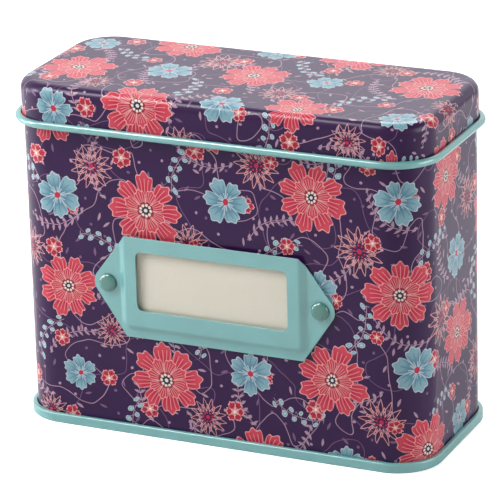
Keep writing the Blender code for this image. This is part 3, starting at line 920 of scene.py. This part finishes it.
def moved_out(loop, reach):
    """A loop of (x, z) points moved to the right of its own direction."""
    moved = []
    for before, here, after in zip(loop[-1:] + loop[:-1], loop, loop[1:] + loop[:1]):
        way_in = Vector((here[1] - before[1], before[0] - here[0])).normalized()
        way_out = Vector((after[1] - here[1], here[0] - after[0])).normalized()
        way = (way_in + way_out) / (1 + way_in.dot(way_out))
        moved.append((here[0] + way.x * reach, here[1] + way.y * reach))
    return moved


def boundary_loops(faces):
    """Loops of point numbers round a sheet of faces, each with the sheet on its left."""
    sides = {(face[k], face[(k + 1) % len(face)]) for face in faces for k in range(len(face))}
    following = {a: b for a, b in sides if (b, a) not in sides}
    loops = []
    while following:
        loop = [min(following)]
        while loop[0] != following.get(loop[-1]):
            loop.append(following[loop[-1]])
        for point in loop:
            del following[point]
        loops.append(loop)
    return loops


def inside_outline(x, z, polygon):
    """Whether a point lies inside a polygon."""
    found = False
    for (ax, az), (bx, bz) in zip(polygon, polygon[1:] + polygon[:1]):
        if (az > z) != (bz > z) and x < ax + (z - az) * (bx - ax) / (bz - az):
            found = not found
    return found


def window_outline():
    """Rounded window in the channel's face."""
    half_width = CHANNEL_FOOT - CHANNEL_STEP_RUN - WINDOW_SIDE
    low = holder_low.z + WINDOW_SILL
    high = holder_high.z - WINDOW_HEAD
    points = []
    for quarter, (sx, z) in enumerate(((1, high), (-1, high), (-1, low), (1, low))):
        inward = WINDOW_CORNER if z == low else -WINDOW_CORNER
        centre = (sx * (half_width - WINDOW_CORNER), z + inward)
        points += arc(centre, WINDOW_CORNER, quarter * pi / 2, pi / 2, CHANNEL_STEPS)
    return points


def holder_blank():
    """Flat faces of the holder between its broken edges, cut along the lines of the step."""
    outline = moved_out(ear_outline(), -HOLDER_EDGE_ROUND)
    openings = [window_outline()]
    for side in (-1, 1):
        centre = (side * RIVET_X, RIVET_HEIGHT)
        openings.append(arc(centre, RIVET_SHANK_RADIUS + FIT, 0, 2 * pi, RIVET_STEPS)[:-1])
    openings = [moved_out(loop, HOLDER_EDGE_ROUND) for loop in openings]
    points, edges = [], []
    for loop in [outline] + openings:
        start = len(points)
        points += loop
        edges += [(start + i, start + (i + 1) % len(loop)) for i in range(len(loop))]
    for i in range(CHANNEL_STEPS + 1):
        start = len(points)
        line = channel_line(CHANNEL_STEP_RUN * i / CHANNEL_STEPS)
        points += line
        edges += [(start + k, start + k + 1) for k in range(len(line) - 1)]
    cut = delaunay_2d_cdt([Vector((x / MM, z / MM)) for x, z in points], edges, [], 0, BLANK_WELD)
    flat = [(v.x * MM, v.y * MM) for v in cut[0]]
    faces = []
    for face in cut[2]:
        x = sum(flat[i][0] for i in face) / len(face)
        z = sum(flat[i][1] for i in face) / len(face)
        if inside_outline(x, z, outline) and not any(inside_outline(x, z, hole) for hole in openings):
            faces.append(face)
    used = sorted({i for face in faces for i in face})
    place = {old: new for new, old in enumerate(used)}
    return [flat[i] for i in used], [[place[i] for i in face] for face in faces]


def make_holder(enamel):
    """Pressed label holder: a blank raised into a channel, its cut edges broken."""
    flat, blank = holder_blank()
    count = len(flat)
    verts, normals = [], []
    for outset, sign in ((FIT + HOLDER_SHEET, 1), (FIT, -1)):
        for x, z in flat:
            verts.append(on_front(x, outset + channel_height(x, z), z))
            normals.append(channel_normal(x, z) * sign)
    faces = [tuple(face) for face in blank] + [tuple(count + i for i in reversed(face)) for face in blank]
    for loop in boundary_loops(blank):
        points = [flat[i] for i in loop]
        wall = moved_out(points, HOLDER_EDGE_ROUND)
        rings = [loop]
        for side, outset, turns in ((1, FIT + HOLDER_SHEET, range(1, EDGE_STEPS + 1)),
                                    (-1, FIT, range(EDGE_STEPS, 0, -1))):
            for i in turns:
                angle = pi / 2 * i / EDGE_STEPS
                sunk = HOLDER_EDGE_ROUND * (1 - cos(angle)) * side
                rings.append(range(len(verts), len(verts) + len(loop)))
                for (x, z), (wall_x, wall_z) in zip(points, wall):
                    px, pz = x + (wall_x - x) * sin(angle), z + (wall_z - z) * sin(angle)
                    verts.append(on_front(px, outset + channel_height(x, z) - sunk, pz))
                    way = Vector((wall_x - x, 0, wall_z - z)).normalized() * sin(angle)
                    normals.append((way + channel_normal(x, z) * side * cos(angle)).normalized())
        rings.append([count + i for i in loop])
        for near, far in zip(rings, rings[1:]):
            for k in range(len(loop)):
                m = (k + 1) % len(loop)
                faces.append((near[k], far[k], far[m], near[m]))
    mesh = bpy.data.meshes.new("holder_press")
    mesh.from_pydata(verts, [], faces)
    mesh.shade_smooth()
    mesh.normals_split_custom_set_from_vertices(normals)
    mesh.materials.append(enamel)
    holder = bpy.data.objects.new("holder_press", mesh)
    bpy.context.scene.collection.objects.link(holder)
    dress(holder, "tin", "teal_enamel", "label_holder")


def make_rivet(name, side, enamel):
    """Domed head outside, shank through ear and wall, flattened tail inside."""
    seat = FIT + HOLDER_SHEET + FIT
    tail = -SHEET - FIT
    profile = []
    for i in range(1, HEAD_STEPS + 1):
        angle = pi / 2 * i / HEAD_STEPS
        rise = RIVET_HEAD_HEIGHT * max(cos(angle), 0) ** HEAD_SQUARENESS
        radius = RIVET_HEAD_RADIUS * sin(angle) ** HEAD_SQUARENESS
        sunk = SET_MARK_DEPTH if radius < SET_MARK_RADIUS else 0
        profile.append((radius, seat + rise - sunk))
    profile += [(RIVET_SHANK_RADIUS, seat), (RIVET_SHANK_RADIUS, tail), (RIVET_TAIL_RADIUS, tail)]
    corner = (RIVET_TAIL_RADIUS - RIVET_TAIL_ROUND, tail - RIVET_TAIL_HEIGHT + RIVET_TAIL_ROUND)
    profile += arc(corner, RIVET_TAIL_ROUND, 0, -pi / 2, ROUND_STEPS)
    verts, faces = [], []
    for radius, outset in profile:
        circle = arc((side * RIVET_X, RIVET_HEIGHT), radius, 0, 2 * pi, RIVET_STEPS)[:-1]
        verts += [on_front(x, outset, z) for x, z in circle]
    for i in range(len(profile) - 1):
        for j in range(RIVET_STEPS):
            k = (j + 1) % RIVET_STEPS
            low, high = i * RIVET_STEPS, (i + 1) * RIVET_STEPS
            faces.append((low + j, low + k, high + k, high + j))
    faces.append(tuple(range(RIVET_STEPS)))
    faces.append(tuple(range(len(verts) - RIVET_STEPS, len(verts))))
    mesh = bpy.data.meshes.new(name)
    mesh.from_pydata(verts, [], faces)
    mesh.materials.append(enamel)
    rivet = finished(name, mesh)
    dress(rivet, "tin", "rivet_enamel", name.replace("_dome", ""))


def dress_papers():
    """Paper on the label, the cards and the dividers, which keep their CAD meshes."""
    stocks = {"label_card": (plain_paper("label_paper", LABEL_CREAM), "label_paper"),
              "card_": (ruled_card(), "card_stock"),
              "divider_": (plain_paper("divider_paper", DIVIDER_MINT), "divider_stock")}
    for name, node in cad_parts.items():
        for start, (material, slot) in stocks.items():
            if name.startswith(start):
                node.data.materials.clear()
                node.data.materials.append(material)


def shadow_floor():
    """Pale floor that shows white to the camera, pale in reflections, and keeps the tin's shadow."""
    graph = Graph(bpy.data.materials.new("pale_floor"))
    graph.set(Base_Color=FLOOR_WHITE, **FLOOR_FINISH)
    graph.set(Emission_Color=(1, 1, 1, 1), Emission_Strength=seen_rays(graph, FLOOR_MIRRORED) * FLOOR_GLOW)
    mesh = bpy.data.meshes.new("floor")
    reach = FLOOR_REACH
    mesh.from_pydata([(-reach, -reach, 0), (reach, -reach, 0), (reach, reach, 0), (-reach, reach, 0)],
                     [], [(0, 1, 2, 3)])
    mesh.materials.append(graph.owner)
    floor = bpy.data.objects.new("floor", mesh)
    bpy.context.scene.collection.objects.link(floor)


def seen_rays(graph, mirrored):
    """1 for rays from the camera, and a share of it for rays from a reflection or clear material."""
    path = graph.add("ShaderNodeLightPath", {})
    camera, glossy, clear = (Term(graph, path.outputs[name])
                             for name in ("Is Camera Ray", "Is Glossy Ray", "Is Transmission Ray"))
    return graph.high(camera, graph.high(glossy, clear) * mirrored)


def make_world():
    """Soft grey light from all round, and a white backdrop that dims towards the ceiling."""
    world = bpy.data.worlds.new("studio")
    bpy.context.scene.world = world
    graph = Graph(world)
    background = graph.tree.nodes["Background"]
    background.inputs["Color"].default_value = (1, 1, 1, 1)
    rise = graph.split(graph.out("ShaderNodeTexCoord", "Generated", {}))[2]
    backdrop = graph.span(rise, BACKDROP_TOP, CEILING_START, 1.0, CEILING)
    graph.feed(background.inputs["Strength"], AMBIENT + (backdrop - AMBIENT) * seen_rays(graph, 1.0))


def make_lamp(name, place, width, height, power):
    """Soft box that faces the tin."""
    light = bpy.data.lights.new(name, "AREA")
    light.shape = "RECTANGLE"
    light.size = width
    light.size_y = height
    light.energy = power
    lamp = bpy.data.objects.new(name, light)
    lamp.location = place
    lamp.visible_camera = False
    aim = Vector((0, 0, CAMERA_AIM_HEIGHT)) - Vector(place)
    lamp.rotation_mode = "QUATERNION"
    lamp.rotation_quaternion = aim.to_track_quat("-Z", "Y")
    bpy.context.scene.collection.objects.link(lamp)


def make_camera():
    """The photograph's viewpoint, its slight tilt included."""
    back = Vector((sin(CAMERA_AZIMUTH) * cos(CAMERA_ELEVATION),
                   -cos(CAMERA_AZIMUTH) * cos(CAMERA_ELEVATION), sin(CAMERA_ELEVATION)))
    level = (-back).to_track_quat("-Z", "Y")
    right, up = level @ Vector((1, 0, 0)), level @ Vector((0, 1, 0))
    aim = Vector((0, 0, CAMERA_AIM_HEIGHT)) - right * CAMERA_AIM_LEFT - up * CAMERA_AIM_DOWN
    data = bpy.data.cameras.new("camera")
    data.lens = CAMERA_LENS_MM
    data.sensor_width = CAMERA_SENSOR_MM
    data.clip_start = CAMERA_NEAR
    data.clip_end = CAMERA_FAR
    camera = bpy.data.objects.new("camera", data)
    camera.location = aim + back * CAMERA_DISTANCE
    camera.rotation_mode = "QUATERNION"
    camera.rotation_quaternion = level @ Quaternion((0, 0, 1), -CAMERA_ROLL)
    bpy.context.scene.collection.objects.link(camera)
    bpy.context.scene.camera = camera


def main():
    bpy.context.scene.view_settings.view_transform = "Standard"
    make_camera()
    make_world()
    for lamp in LAMPS:
        make_lamp(*lamp)
    shadow_floor()
    outside = floral_print()
    enamel = teal_enamel("teal_enamel", TEAL)
    metal = tinplate()
    make_body(outside, metal)
    make_lid(outside, enamel)
    make_base(enamel, metal)
    make_holder(enamel)
    # The rivets' enamel is darker partly from its own greener tint and partly as painted shade
    rivet_enamel = teal_enamel("rivet_enamel", RIVET_TEAL_WITH_PAINTED_SHADE)
    make_rivet("rivet_left_dome", -1, rivet_enamel)
    make_rivet("rivet_right_dome", 1, rivet_enamel)
    dress_papers()


main()
